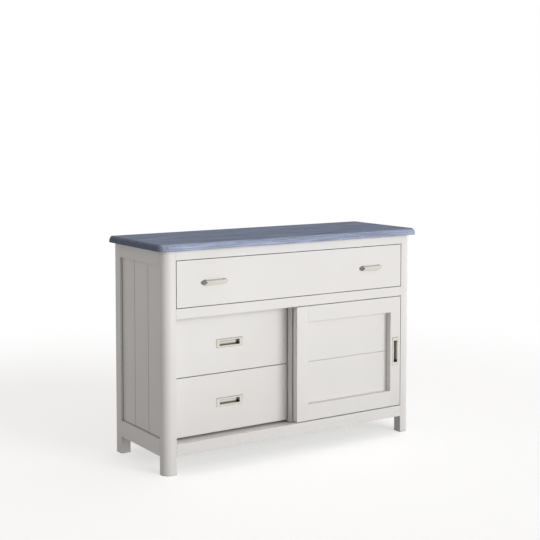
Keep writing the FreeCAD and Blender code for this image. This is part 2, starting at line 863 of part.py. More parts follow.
# Telescopic slides. Distances over the thickness run from the case's wall towards the drawer.
def channel_section(near, far, half_height, gauge):
    """A channel open towards the drawer, with its flanges' ends turned in as lips."""
    lip = size("slide_lip")
    lower = [
        (near, -half_height),
        (far, -half_height),
        (far, lip - half_height),
        (far - gauge, lip - half_height),
        (far - gauge, gauge - half_height),
        (near + gauge, gauge - half_height),
    ]
    return lower + [(x, -z) for x, z in reversed(lower)]


def runner_section():
    """The drawer's member: a hat with its brim behind the carrier's lips and its crown at the side."""
    gauge = size("slide_gauge")
    play = size("slide_clearance")
    near = 2 * (gauge + play)
    brim = size("slide_height") / 2 - 2 * (gauge + play)
    wall = size("slide_height") / 2 - gauge - play - size("slide_lip") - play
    crown = size("slide_thickness") + play
    lower = [
        (near, -brim),
        (near + gauge, -brim),
        (near + gauge, -wall),
        (crown, -wall),
    ]
    inside = [
        (crown - gauge, gauge - wall),
        (near, gauge - wall),
    ]
    upper = [(x, -z) for x, z in reversed(lower)]
    inside_top = [(x, -z) for x, z in reversed(inside)]
    return lower + upper + inside_top + inside


def slide_member(name, section, wall, way, y, z):
    """One member of a slide, its section set out from the wall towards the drawer and upright about z."""
    points = [(wall + way * length(x), z + length(up)) for x, up in section]
    body = new_body(name)
    pad(body, "section", "XZ", *y, lambda s: draw_polygon(s, points))
    return body


def make_slides(prefix, walls, y, z):
    """Both slides of a drawer: returns the fixed channels and keeps the carriers and the runners."""
    gauge = size("slide_gauge")
    play = size("slide_clearance")
    half = size("slide_height") / 2
    depth = size("slide_channel_depth")
    sections = {
        "channel": channel_section(length(0), depth, half, gauge),
        "carrier": channel_section(gauge + play, depth - gauge - play, half - gauge - play, gauge),
        "runner": runner_section(),
    }
    members = {}
    for kind, section in sections.items():
        members[kind] = [
            slide_member(f"{prefix}_{side_name}_{kind}", section, wall, way, y, z)
            for side_name, (wall, way) in walls.items()
        ]
    keep(group(f"{prefix}_slide_carriers", members["carrier"]))
    keep(group(f"{DRAWER_NAMES[prefix]}_runners", members["runner"]))
    return members["channel"]


# Drawers
def make_drawer(prefix, bay, front_y, front_z, box_z, pull=False, handles=False):
    """A drawer between the two walls of its bay: its front, two sides, back and bottom."""
    name = DRAWER_NAMES[prefix]
    gap = size("drawer_gap")
    room = size("slide_thickness") + size("slide_clearance")
    thickness = size("box_side_thickness")
    x = (bay[0] + gap, bay[1] - gap)
    box = (bay[0] + room, bay[1] - room)
    face, rear = front_y
    box_back = back_panel_front - size("box_back_clearance")
    housing = size("box_housing_depth")
    slot = size("box_groove_depth")
    slot_reach = slot - size("panel_groove_clearance")
    bottom_low = box_z[0] + size("box_bottom_lift")
    bottom_z = (bottom_low, bottom_low + size("box_bottom_thickness"))
    inner = (box[0] + thickness, box[1] - thickness)

    body = block(f"{name}_front", x, front_y, front_z)
    edges = [{"y": face, "z": z} for z in front_z] + [{"y": face, "x": end} for end in x]
    round_edges(body, "arris", size("front_arris"), *edges)
    side_x = {"left": (box[0], inner[0]), "right": (inner[1], box[1])}
    cut_boxes(body, "housing", [(span, (rear - housing, rear), box_z) for span in side_x.values()])
    cut_boxes(body, "bottom_groove", [(inner, (rear - slot, rear), bottom_z)])
    middle_x = (x[0] + x[1]) / 2
    middle_z = (front_z[0] + front_z[1]) / 2
    if pull:
        cut_pull_seat(body, middle_x, middle_z, face, upright=False)
        make_pull(f"{name}_pull", middle_x, middle_z, face, upright=False)
    if handles:
        make_handles(body, x, middle_z, front_y)
    keep(body)

    for side_name, span in side_x.items():
        side = block(f"{name}_{side_name}_side", span, (rear - housing, box_back), box_z)
        toward = (span[1] - slot, span[1]) if side_name == "left" else (span[0], span[0] + slot)
        cut_boxes(side, "bottom_groove", [(toward, (rear - housing, box_back), bottom_z)])
        keep_x = (span[1] - housing, span[1]) if side_name == "left" else (span[0], span[0] + housing)
        back_y = (box_back - thickness - housing, box_back - housing)
        cut_boxes(side, "back_housing", [(keep_x, back_y, (bottom_z[1], box_z[1]))])
        keep(side)

    back_y = (box_back - thickness - housing, box_back - housing)
    back_x = (inner[0] - housing, inner[1] + housing)
    keep(block(f"{name}_back", back_x, back_y, (bottom_z[1], box_z[1])))
    bottom_x = (inner[0] - slot_reach, inner[1] + slot_reach)
    bottom = block(f"{name}_bottom", bottom_x, (rear - slot_reach, box_back), bottom_z)
    corners = []
    for low, high in ((bottom_x[0], inner[0]), (inner[1], bottom_x[1])):
        corners.append(((low, high), (rear - slot_reach, rear - housing), bottom_z))
    cut_boxes(bottom, "corner", corners)
    keep(bottom)
    return middle_x, middle_z


def make_handles(drawer_front, x, z, front_y):
    """The two bow handles of the wide drawer with their screws, and the holes for these in the front."""
    face, rear = front_y
    screws = []
    half = size("handle_screw_spacing") / 2
    hole = size("screw_radius") + size("screw_clearance")
    inset = size("handle_inset")
    for side_name, middle in {"left": x[0] + inset, "right": x[1] - inset}.items():
        handle = make_bow_handle(f"{side_name}_bow_handle", middle, z, face)
        for end, place in {"left": middle - half, "right": middle + half}.items():
            spot = (place, z)
            head_radius = size("screw_head_radius")
            bore = f"{side_name}_{end}_hole"
            pocket(drawer_front, bore, "XZ", face, rear, lambda s: draw_circle(s, spot, hole))
            grip = face - size("screw_grip")
            pocket(handle, f"{end}_hole", "XZ", grip, face, lambda s: draw_circle(s, spot, hole))
            screw = new_body(f"{side_name}_{end}_handle_screw")
            tip = grip + size("screw_clearance")
            head = rear + size("screw_head_height")
            pad(screw, "shank", "XZ", tip, rear, lambda s: draw_circle(s, spot, size("screw_radius")))
            pad(screw, "head", "XZ", rear, head, lambda s: draw_circle(s, spot, head_radius))
            screws.append(screw)
        keep(handle)
    keep(group("handle_screws", screws))


def make_bow_handle(name, middle, z, face):
    """A bow handle, turned as a domed bar that bows outwards and then cut to a pointed leaf at each end."""
    body = new_body(name)
    half = size("handle_length") / 2
    shoulder = half - size("handle_end_length")
    edge = size("handle_height") / 2
    reach = size("handle_reach")
    rise = size("handle_bow")
    crest = face - reach - rise
    bow = (shoulder * shoulder + rise * rise) / (2 * rise)
    crown = size("handle_crown")
    dome = (edge * edge + crown * crown) / (2 * crown)
    waste = size("handle_end_length")
    behind = face + waste

    section = new_sketch(body, "section", "YZ", middle)
    corners = [(behind, z - edge, None), (behind, z + edge, None)]
    corners += [(crest + crown, z + edge, dome), (crest + crown, z - edge, None)]
    draw_outline(section, corners)
    low, high = (FreeCAD.Vector((crest + bow).value, end.value, 0) for end in (z - edge, z + edge))
    axis = section.addGeometry(Part.LineSegment(low, high), True)
    pin_point(section, axis, (crest + bow, z - edge))
    section.addConstraint(Sketcher.Constraint("Vertical", axis))
    end = Sketcher.Constraint("DistanceY", -1, 1, axis, 2, (z + edge).value)
    bind(section, section.addConstraint(end), z + edge)
    bar = body.newObject("PartDesign::Revolution", f"{name}_bar")
    bar.Profile = section
    bar.ReferenceAxis = (section, ["Axis0"])
    bar.Midplane = True
    bar_half = half + waste / 2
    bar.setExpression("Angle", f"2 * asin({bar_half.text} / {bow.text})")
    section.Visibility = False
    body.Tip = bar

    low_x = middle - half - waste
    high_x = middle + half + waste
    front_y = crest - waste
    plan = [
        (middle - half, face, None),
        (middle - half, face - size("handle_tip_depth"), size("handle_leaf_radius")),
        (middle - shoulder, crest + rise, bow),
        (middle + shoulder, crest + rise, size("handle_leaf_radius")),
        (middle + half, face - size("handle_tip_depth"), None),
        (middle + half, face, None),
    ]
    window = ((low_x, front_y), (high_x, behind + waste))
    trim_outside(body, "plan", "XY", (z - 2 * edge, z + 2 * edge), window, plan)
    tip = size("handle_tip_height") / 2
    outline = [
        (middle - half, z + tip, None),
        (middle - half, z - tip, size("handle_outline_radius")),
        (middle - shoulder, z - edge, None),
        (middle + shoulder, z - edge, size("handle_outline_radius")),
        (middle + half, z - tip, None),
        (middle + half, z + tip, size("handle_outline_radius")),
        (middle + shoulder, z + edge, None),
        (middle - shoulder, z + edge, size("handle_outline_radius")),
    ]
    window = ((low_x, z - 2 * edge), (high_x, z + 2 * edge))
    trim_outside(body, "outline", "XZ", (front_y, behind), window, outline)

    inner = shoulder - size("handle_gap_slant")
    depth = reach - size("handle_strap")
    gap = [
        (middle - shoulder, face),
        (middle - inner, face - depth),
        (middle + inner, face - depth),
        (middle + shoulder, face),
    ]
    pocket(body, "finger_gap", "XY", z - edge, z + edge, lambda s: draw_polygon(s, gap))
    return body


def trim_outside(body, name, plane, span, window, outline):
    """Cuts away what lies between an outline and the window round it."""

    def draw(sketch):
        draw_box(sketch, *window)
        draw_outline(sketch, outline)

    pocket(body, name, plane, *span, draw)


# Flush pulls
def pull_box(middle_x, middle_z, across, along, upright):
    """The low and high corners of a rectangle about a pull's middle, lying or upright."""
    width, height = (across, along) if upright else (along, across)
    return (middle_x - width / 2, middle_z - height / 2), (middle_x + width / 2, middle_z + height / 2)


def pull_cup_size(extra):
    """The height and length of the outside of a pull's cup, with a clearance."""
    more = 2 * size("pull_wall") + 2 * extra
    return size("pull_slot_height") + more, size("pull_slot_length") + more


def make_pull(name, middle_x, middle_z, face, upright):
    """A flush pull: a bevelled flange on the face, and a rounded cup let into the wood behind it."""
    flange = pull_box(middle_x, middle_z, size("pull_height"), size("pull_length"), upright)
    cup = pull_box(middle_x, middle_z, *pull_cup_size(length(0)), upright)
    slot = pull_box(middle_x, middle_z, size("pull_slot_height"), size("pull_slot_length"), upright)
    outside = face - size("pull_flange")
    floor = outside + size("pull_depth")
    body = new_body(name)
    pad(body, "flange", "XZ", outside, face, lambda s: draw_box(s, *flange))
    corners = [{"x": x, "z": z} for x in (flange[0][0], flange[1][0]) for z in (flange[0][1], flange[1][1])]
    round_edges(body, "corners", size("pull_corner_radius"), *corners)
    round_edges(body, "bevel", size("pull_edge_bevel"), {"y": outside}, kind="Chamfer")
    pad(body, "cup", "XZ", face, floor + size("pull_wall"), lambda s: draw_box(s, *cup))
    pocket(body, "slot", "XZ", outside, floor, lambda s: draw_box(s, *slot))
    corners = [{"x": x, "z": z} for x in (slot[0][0], slot[1][0]) for z in (slot[0][1], slot[1][1])]
    round_edges(body, "slot_corners", size("pull_cup_radius"), *corners)
    return keep(body)


def cut_pull_seat(body, middle_x, middle_z, face, upright):
    """The pocket in the wood that the pull's cup goes into."""
    play = size("pull_cutout_clearance")
    low, high = pull_box(middle_x, middle_z, *pull_cup_size(play), upright)
    depth = size("pull_depth") - size("pull_flange") + size("pull_wall") + play
    pocket(body, "pull_seat", "XZ", face, face + depth, lambda s: draw_box(s, low, high))


# Sliding door
def make_door():
    """The door: two stiles, two rails, two planks behind them, a pull, hangers and guide blocks."""
    face, rear = front, door_back
    stile = size("door_stile_width")
    stiles = {"left": (door_left, door_left + stile), "right": (door_right - stile, door_right)}
    rails = {
        "bottom": (door_low, door_low + size("door_bottom_rail_height")),
        "top": (door_top - size("door_top_rail_height"), door_top),
    }
    tenon_y = centred(front + size("door_thickness") / 2, size("tenon_thickness"))
    reach = size("door_tenon_length")
    opening = (stiles["left"][1], stiles["right"][0])
    for name, x in stiles.items():
        body = block(f"door_{name}_stile", x, (face, rear), (door_low, door_top))
        edges = [{"y": face, "x": x[0]}, {"y": face, "x": x[1]}]
        round_edges(body, "arris", size("frame_arris"), *edges)
        mortise_x = (x[1] - reach, x[1]) if name == "left" else (x[0], x[0] + reach)
        cut_boxes(body, "mortise", [(mortise_x, tenon_y, between_shoulders(z)) for z in rails.values()])
        if name == "right":
            middle = (x[0] + x[1]) / 2
            height = (door_low + door_top) / 2
            cut_pull_seat(body, middle, height, face, upright=True)
            make_pull("door_pull", middle, height, face, upright=True)
        keep(body)
    for name, z in rails.items():
        body = block(f"door_{name}_rail", opening, (face, rear), z)
        round_edges(body, "arris", size("frame_arris"), {"y": face, "z": z[0]}, {"y": face, "z": z[1]})
        low = (opening[0] - reach, tenon_y[0])
        high = (opening[1] + reach, tenon_y[1])
        pad(body, "tenons", "XY", *between_shoulders(z), lambda s: draw_box(s, low, high))
        keep(body)

    lap = size("plank_lap")
    x = (opening[0] - lap, opening[1] + lap)
    z = (rails["bottom"][1] - lap, rails["top"][0] + lap)
    height = (z[1] - z[0]) / DOOR_PLANKS
    out = (rear + size("plank_thickness"), rear)
    planks = []
    for number in range(DOOR_PLANKS):
        across = (z[0] + number * height, z[0] + (number + 1) * height)
        points = board_outline(across, out, tongue=number > 0, slot=number < DOOR_PLANKS - 1)
        body = new_body(f"door_plank_{number + 1}")
        pad(body, "plank", "YZ", *x, lambda s: draw_polygon(s, [(y, up) for up, y in points]))
        planks.append(body)
    keep(group("door_planks", planks))


def make_hangers():
    """The hanger plates on the door's back with their axles, and a wheel on each."""
    low = door_top - size("hanger_drop")
    high = axle_z + size("hanger_head")
    half = size("hanger_width") / 2
    inset = size("hanger_inset")
    plate_back = door_back + size("hanger_thickness")
    wheel_y = (plate_back + size("wheel_gap"), plate_back + size("wheel_gap") + size("wheel_width"))
    axle_back = wheel_y[1] + size("track_clearance")
    head_back = axle_back + size("axle_head_height")
    hangers = []
    for name, middle in {"left": door_left + inset, "right": door_right - inset}.items():
        body = new_body(f"{name}_hanger")
        x = (middle - half, middle + half)
        pad(body, "plate", "XZ", door_back, plate_back, lambda s: draw_box(s, (x[0], low), (x[1], high)))
        shoulders = [{"x": end, "z": high} for end in x]
        round_edges(body, "shoulders", size("hanger_corner_radius"), *shoulders)
        spot = (middle, axle_z)
        head = size("axle_head_radius")
        pad(body, "axle", "XZ", plate_back, axle_back, lambda s: draw_circle(s, spot, size("axle_radius")))
        pad(body, "head", "XZ", axle_back, head_back, lambda s: draw_circle(s, spot, head))
        hangers.append(body)

        wheel = new_body(f"{name}_roller")
        pad(wheel, "disc", "XZ", *wheel_y, lambda s: draw_circle(s, spot, size("wheel_radius")))
        bore = size("axle_radius") + size("axle_clearance")
        pocket(wheel, "bore", "XZ", *wheel_y, lambda s: draw_circle(s, spot, bore))
        keep(wheel)
    keep(group("door_hangers", hangers))


def make_guides():
    """Two blocks on the door's back whose feet run in the slot between the bottom rail and the floor."""
    half = size("guide_width") / 2
    inset = size("guide_inset")
    low = bottom_rail_top - size("guide_reach")
    high = door_low + size("guide_height")
    near = front_rail_back + size("guide_clearance")
    far = near + size("guide_thickness")
    step = door_low - size("guide_clearance")
    section = [(near, low), (far, low), (far, high), (door_back, high), (door_back, step), (near, step)]
    guides = []
    for name, middle in {"left": door_left + inset, "right": door_right - inset}.items():
        body = new_body(f"{name}_guide")
        pad(body, "block", "YZ", middle - half, middle + half, lambda s: draw_polygon(s, section))
        guides.append(body)
    keep(group("door_guides", guides))


# Places of the drawers, the shelf and the door
gap = size("drawer_gap")
wide_front_z = (middle_rail_top + gap, top_rail_low - gap)
wide_front_y = (front, front + size("front_thickness"))
wide_box_low = wide_front_z[0] + size("wide_box_lift")
small_face = front + size("small_front_setback")
small_front_y = (small_face, small_face + size("front_thickness"))
lower_front_low = floor_top + size("small_front_floor_gap")
small_room = deck_low - size("small_front_top_gap") - lower_front_low
small_front_height = (small_room - size("small_front_spacing")) / 2
small_box_height = small_front_height - size("small_box_lift") - size("small_box_drop")
upper_front_low = lower_front_low + small_front_height + size("small_front_spacing")
lower_box_low = lower_front_low + size("small_box_lift")
upper_box_low = upper_front_low + size("small_box_lift")
wide_slide_z = wide_box_low + size("slide_lift")
lower_slide_z = lower_box_low + size("slide_lift")
upper_slide_z = upper_box_low + size("slide_lift")
box_back = back_panel_front - size("box_back_clearance")

shelf_low = floor_top + size("shelf_height")
shelf_front = inner_front + size("shelf_setback")
pin_z = shelf_low - size("pin_radius")
PIN_Y = (shelf_front + size("pin_inset"), back_post_front - size("pin_inset"))

door_left = partition_left - size("door_lap")
door_right = post_inner - size("door_side_gap")
door_back = front + size("door_thickness")
door_low = bottom_rail_top + size("door_bottom_gap")
door_top = middle_rail_low - size("door_top_gap")
track_floor = middle_rail_low + size("track_lift") + size("track_wall")
axle_z = track_floor + size("wheel_running_gap") + size("wheel_radius")

make_top()
for side_name, side in SIDES.items():
    make_front_post(side_name, side)
    make_back_post(side_name, side)
    for name, z in SIDE_RAILS.items():
        make_side_rail(side_name, side, name, z)
    make_side_boards(side_name, side)
for name, z in FRONT_RAILS.items():
    make_front_rail(name, z)
make_back_rails()
make_back_panel()
make_floor()
make_deck()
make_partition()
make_shelf()
make_battens()
make_track()

wide_bay = (-post_inner, post_inner)
small_bay = (-post_inner, partition_left)
wide_box_z = (wide_box_low, wide_box_low + size("wide_box_height"))
upper_box_z = (upper_box_low, upper_box_low + small_box_height)
lower_box_z = (lower_box_low, lower_box_low + small_box_height)
upper_front_z = (upper_front_low, upper_front_low + small_front_height)
lower_front_z = (lower_front_low, lower_front_low + small_front_height)
make_drawer("top", wide_bay, wide_front_y, wide_front_z, wide_box_z, handles=True)
make_drawer("upper", small_bay, small_front_y, upper_front_z, upper_box_z, pull=True)
make_drawer("lower", small_bay, small_front_y, lower_front_z, lower_box_z, pull=True)

channels = []
slides = {
    "top": (wide_bay, wide_front_y[1], wide_slide_z),
    "upper": (small_bay, small_front_y[1], upper_slide_z),
    "lower": (small_bay, small_front_y[1], lower_slide_z),
}
for prefix, (bay, start, height) in slides.items():
    walls = {"left": (bay[0], 1), "right": (bay[1], -1)}
    y = (start + size("slide_inset"), box_back - size("slide_inset"))
    channels += make_slides(prefix, walls, y, height)
keep(group("fixed_slide_channels", channels))

make_door()
make_hangers()
make_guides()

doc.recompute()
bad = ("Invalid", "Error")
faulty = [item for item in doc.Objects if any(state in item.State for state in bad)]
faults = [f"{item.Label}: {item.State}" for item in faulty]
for name, piece in nodes.items():
    shape = piece.Shape
    if shape.isNull() or not shape.isValid() or not shape.Solids:
        faults.append(f"{name}: no valid solid")
if faults:
    raise SystemExit("\n".join(faults))
for name, piece in nodes.items():
    piece.Shape.exportStep(os.path.join("parts", f"{name}.step"))
print(f"{len(nodes)} pieces written")
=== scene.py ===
"""Looks of the sideboard: finishes, small screws, studio light and camera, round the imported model.

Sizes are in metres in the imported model's frame: X to the right, Y to the back and Z up, with the origin on
the floor under the middle.
"""

import logging
import math
from dataclasses import dataclass, field
from enum import Enum
from typing import Union

import bmesh
import bpy
from mathutils import Matrix, Vector


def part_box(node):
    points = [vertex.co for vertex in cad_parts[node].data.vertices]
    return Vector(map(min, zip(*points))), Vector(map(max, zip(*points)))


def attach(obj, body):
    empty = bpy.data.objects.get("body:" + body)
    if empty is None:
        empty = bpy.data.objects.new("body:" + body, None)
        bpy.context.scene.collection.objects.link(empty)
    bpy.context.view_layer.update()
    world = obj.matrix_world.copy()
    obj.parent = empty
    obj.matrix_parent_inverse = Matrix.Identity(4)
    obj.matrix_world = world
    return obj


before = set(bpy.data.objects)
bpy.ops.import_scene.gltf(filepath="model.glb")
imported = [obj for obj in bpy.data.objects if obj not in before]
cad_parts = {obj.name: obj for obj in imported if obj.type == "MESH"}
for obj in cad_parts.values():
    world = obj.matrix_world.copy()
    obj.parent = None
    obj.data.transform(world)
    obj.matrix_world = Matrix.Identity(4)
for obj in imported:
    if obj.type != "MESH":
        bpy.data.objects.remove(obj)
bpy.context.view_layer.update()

LOG = logging.getLogger("sideboard")
SHOWN_RAYS = ("Is Camera Ray", "Is Glossy Ray", "Is Transmission Ray")
NOISE_RANGE = (0.3, 0.7)  # holds nearly all of a noise pattern's values

Colour = tuple[float, float, float]
Feed = Union[float, tuple, bpy.types.NodeSocket]


# Node trees
class Graph:
    """Adds nodes to one node tree and links them."""

    def __init__(self, tree: bpy.types.NodeTree) -> None:
        """Starts on an emptied tree."""
        self.tree = tree
        tree.nodes.clear()

    def add(self, kind: str, inputs: dict | None = None, **settings: object) -> bpy.types.Node:
        """Adds a node.

        Args:
            kind: The node's type name.
            inputs: What each input gets, by name or number: a value, or the socket that feeds it.
            settings: Values for the node's own properties.

        Returns:
            The new node.
        """
        node = self.tree.nodes.new(kind)
        for name, value in settings.items():
            setattr(node, name, value)
        for key, value in (inputs or {}).items():
            self.feed(node.inputs[key], value)
        return node

    def feed(self, socket: bpy.types.NodeSocket, value: Feed) -> None:
        """Gives an input its value, or links the socket that feeds it."""
        if isinstance(value, bpy.types.NodeSocket):
            self.tree.links.new(value, socket)
        elif socket.type == "RGBA" and len(value) == 3:
            socket.default_value = (*value, 1.0)
        else:
            socket.default_value = value

    def math(self, operation: str, first: Feed, second: Feed = 0.0) -> bpy.types.NodeSocket:
        """Returns the result of one sum on two values."""
        return self.add("ShaderNodeMath", {0: first, 1: second}, operation=operation).outputs[0]

    def stretch(self, vector: bpy.types.NodeSocket, factors: Feed) -> bpy.types.NodeSocket:
        """Returns the vector with each of its axes multiplied."""
        return self.add("ShaderNodeVectorMath", {0: vector, 1: factors}, operation="MULTIPLY").outputs[0]

    def noise(
        self, vector: bpy.types.NodeSocket, scale: Feed, detail: float = 2.0, roughness: float = 0.5,
        distortion: float = 0.0,
    ) -> bpy.types.NodeSocket:
        """Makes a noise pattern.

        Args:
            vector: Where in the pattern each point is.
            scale: How many features there are to a unit.
            detail: How many finer layers are added.
            roughness: How strong the finer layers are.
            distortion: How far the pattern is bent by itself.

        Returns:
            The pattern's value, mostly between 0.3 and 0.7.
        """
        values = {"Vector": vector, "Scale": scale, "Detail": detail, "Roughness": roughness,
                  "Distortion": distortion}
        return self.add("ShaderNodeTexNoise", values).outputs["Fac"]

    def remap(
        self, value: bpy.types.NodeSocket, low: float, high: float, to: tuple = (0.0, 1.0), soft: bool = False,
    ) -> bpy.types.NodeSocket:
        """Takes the range from low to high to another one, and holds it there.

        Args:
            value: The value to take over.
            low: The value that becomes the first of the new range.
            high: The value that becomes the last of the new range.
            to: The new range.
            soft: Whether it eases in and out at both ends.

        Returns:
            The new value.
        """
        limits = {"Value": value, "From Min": low, "From Max": high, "To Min": to[0], "To Max": to[1]}
        course = "SMOOTHSTEP" if soft else "LINEAR"
        return self.add("ShaderNodeMapRange", limits, interpolation_type=course).outputs["Result"]

    def blend(self, factor: Feed, first: Feed, second: Feed) -> bpy.types.NodeSocket:
        """Mixes two colours.

        Args:
            factor: How much of the second colour there is.
            first: The first colour.
            second: The second colour.

        Returns:
            The mixed colour.
        """
        node = self.add("ShaderNodeMix", data_type="RGBA")
        for number, value in ((0, factor), (6, first), (7, second)):
            self.feed(node.inputs[number], value)
        return node.outputs[2]

    def tint(
        self, tone: Feed, colour: Colour, mask: bpy.types.NodeSocket, share: float,
    ) -> bpy.types.NodeSocket:
        """Lays a colour over a tone.

        Args:
            tone: The tone below.
            colour: The colour that is laid over it.
            mask: Where it goes.
            share: How much of it shows where the mask is full.

        Returns:
            The tinted tone.
        """
        return self.blend(self.math("MULTIPLY", mask, share), tone, colour)

    def weigh(
        self, first: bpy.types.NodeSocket, second: bpy.types.NodeSocket, share: float,
    ) -> bpy.types.NodeSocket:
        """Adds a share of one value to the rest of another.

        Args:
            first: The value that gets the share.
            second: The value that gets the rest.
            share: The first value's share.

        Returns:
            The weighed sum.
        """
        rest = self.math("MULTIPLY", second, 1.0 - share)
        return self.math("ADD", self.math("MULTIPLY", first, share), rest)

    def bump(
        self, height: bpy.types.NodeSocket, strength: float, distance: float, normal: Feed | None = None,
    ) -> bpy.types.NodeSocket:
        """Turns a height into a normal.

        Args:
            height: The height pattern.
            strength: How much of it shows.
            distance: The depth of the relief in metres.
            normal: The normal that it starts from.

        Returns:
            The bent normal.
        """
        values = {"Height": height, "Strength": strength, "Distance": distance}
        if normal is not None:
            values["Normal"] = normal
        return self.add("ShaderNodeBump", values).outputs["Normal"]


class Effect:
    """A shader node group with named inputs and outputs, which several finishes share."""

    def __init__(self, name: str, inputs: dict[str, Feed], outputs: dict[str, str]) -> None:
        """Makes the group's tree and its sockets.

        Args:
            name: The group's name.
            inputs: The default of each input; a tuple makes a vector input.
            outputs: The kind of each output, Float or Vector.
        """
        self.tree = bpy.data.node_groups.new(name, "ShaderNodeTree")
        for label, default in inputs.items():
            kind = "NodeSocketVector" if isinstance(default, tuple) else "NodeSocketFloat"
            socket = self.tree.interface.new_socket(label, in_out="INPUT", socket_type=kind)
            socket.default_value = default
        for label, kind in outputs.items():
            self.tree.interface.new_socket(label, in_out="OUTPUT", socket_type=f"NodeSocket{kind}")
        self.graph = Graph(self.tree)
        self.given = self.graph.add("NodeGroupInput").outputs
        self.sink = self.graph.add("NodeGroupOutput").inputs

    def put(self, label: str, value: bpy.types.NodeSocket) -> None:
        """Sends a value to one of the group's outputs."""
        self.graph.feed(self.sink[label], value)

    def place(self, graph: Graph, **values: Feed) -> bpy.types.Node:
        """Places the group in a material, with its own values."""
        return graph.add("ShaderNodeGroup", values, node_tree=self.tree)

    def scaled(self, length: bpy.types.NodeSocket, width: bpy.types.NodeSocket) -> bpy.types.NodeSocket:
        """Returns the position given in units of the length along X and of the width across."""
        sizes = self.graph.add("ShaderNodeCombineXYZ", {0: length, 1: width, 2: width}).outputs[0]
        inputs = {0: self.given["Position"], 1: sizes}
        return self.graph.add("ShaderNodeVectorMath", inputs, operation="DIVIDE").outputs[0]


class WoodGrain(Effect):
    """Streaks, figure and pores of wood whose grain runs along X."""

    def __init__(self) -> None:
        """Builds the group."""
        sizes = {"Position": (0.0, 0.0, 0.0), "Length": 0.1, "Width": 0.0012, "Figure": 0.03}
        super().__init__("wood_grain", sizes, {"Streaks": "Float", "Figure": "Float", "Pores": "Float"})
        graph, given = self.graph, self.given
        streaks = graph.noise(self.scaled(given["Length"], given["Width"]), 1.0, detail=4.0, roughness=0.62)
        self.put("Streaks", graph.remap(streaks, *NOISE_RANGE))
        long_figure = graph.math("MULTIPLY", given["Figure"], 9.0)
        figure = graph.noise(self.scaled(long_figure, given["Figure"]), 1.0, detail=3.0, distortion=0.7)
        self.put("Figure", graph.remap(figure, 0.32, 0.68))
        short = graph.math("MULTIPLY", given["Length"], 0.12)
        thin = graph.math("MULTIPLY", given["Width"], 0.45)
        pores = graph.noise(self.scaled(short, thin), 1.0, detail=1.0)
        self.put("Pores", graph.remap(pores, 0.6, 0.72))


class SoftEdge(Effect):
    """A normal that rounds sharp edges a little, and a mask of where they are."""

    def __init__(self) -> None:
        """Builds the group."""
        super().__init__("soft_edge", {"Radius": 0.001}, {"Normal": "Vector", "Edge": "Float"})
        graph = self.graph
        rounded = graph.add("ShaderNodeBevel", {"Radius": self.given["Radius"]}, samples=6).outputs["Normal"]
        flat = graph.add("ShaderNodeNewGeometry").outputs["Normal"]
        likeness = graph.add("ShaderNodeVectorMath", {0: rounded, 1: flat}, operation="DOT_PRODUCT")
        self.put("Normal", rounded)
        self.put("Edge", graph.remap(likeness.outputs["Value"], 0.995, 0.8))


class Crevice(Effect):
    """A mask of the joints, gaps and grooves, where little light gets in; the finishes paint shade into their
    colour with it.
    """

    def __init__(self) -> None:
        """Builds the group."""
        super().__init__("crevice", {"Reach": 0.003}, {"Depth": "Float"})
        graph = self.graph
        open_share = graph.add("ShaderNodeAmbientOcclusion", {"Distance": self.given["Reach"]}, samples=8)
        self.put("Depth", graph.remap(open_share.outputs["AO"], 0.94, 0.58))


class PaintFilm(Effect):
    """A slow drift of tone, and the fine relief of a sprayed film over faint grain along X."""

    def __init__(self) -> None:
        """Builds the group."""
        sizes = {"Position": (0.0, 0.0, 0.0), "Drift": 0.3, "Peel": 0.0022}
        super().__init__("paint_film", sizes, {"Tone": "Float", "Relief": "Float"})
        graph, given = self.graph, self.given
        place = given["Position"]
        drift = graph.noise(place, graph.math("DIVIDE", 1.0, given["Drift"]), detail=3.0)
        self.put("Tone", graph.remap(drift, *NOISE_RANGE))
        peel = graph.noise(place, graph.math("DIVIDE", 1.0, given["Peel"]), detail=1.0)
        grain = graph.noise(graph.stretch(place, (9.0, 260.0, 260.0)), 1.0, detail=2.0)
        self.put("Relief", graph.weigh(peel, grain, 0.6))


class FineScratches(Effect):
    """Short fine lines along X and soft clouds, as on brushed or handled metal."""

    def __init__(self) -> None:
        """Builds the group."""
        sizes = {"Position": (0.0, 0.0, 0.0), "Length": 0.02, "Width": 0.0003}
        super().__init__("fine_scratches", sizes, {"Lines": "Float", "Clouds": "Float"})
        graph, given = self.graph, self.given
        lines = graph.noise(self.scaled(given["Length"], given["Width"]), 1.0, detail=3.0, roughness=0.6)
        self.put("Lines", graph.remap(lines, *NOISE_RANGE))
        clouds = graph.noise(given["Position"], 90.0, detail=3.0)
        self.put("Clouds", graph.remap(clouds, *NOISE_RANGE))


class Effects:
    """The shared groups, each built once."""

    def __init__(self) -> None:
        """Builds every group."""
        self.grain = WoodGrain()
        self.edge = SoftEdge()
        self.crevice = Crevice()
        self.film = PaintFilm()
        self.scratches = FineScratches()


# Finishes
class Grain(Enum):
    """Which way a piece's grain runs, as the order in which its axes are taken."""

    ALONG_X = ("X", "Y", "Z")
    ALONG_Y = ("Y", "Z", "X")
    ALONG_Z = ("Z", "X", "Y")


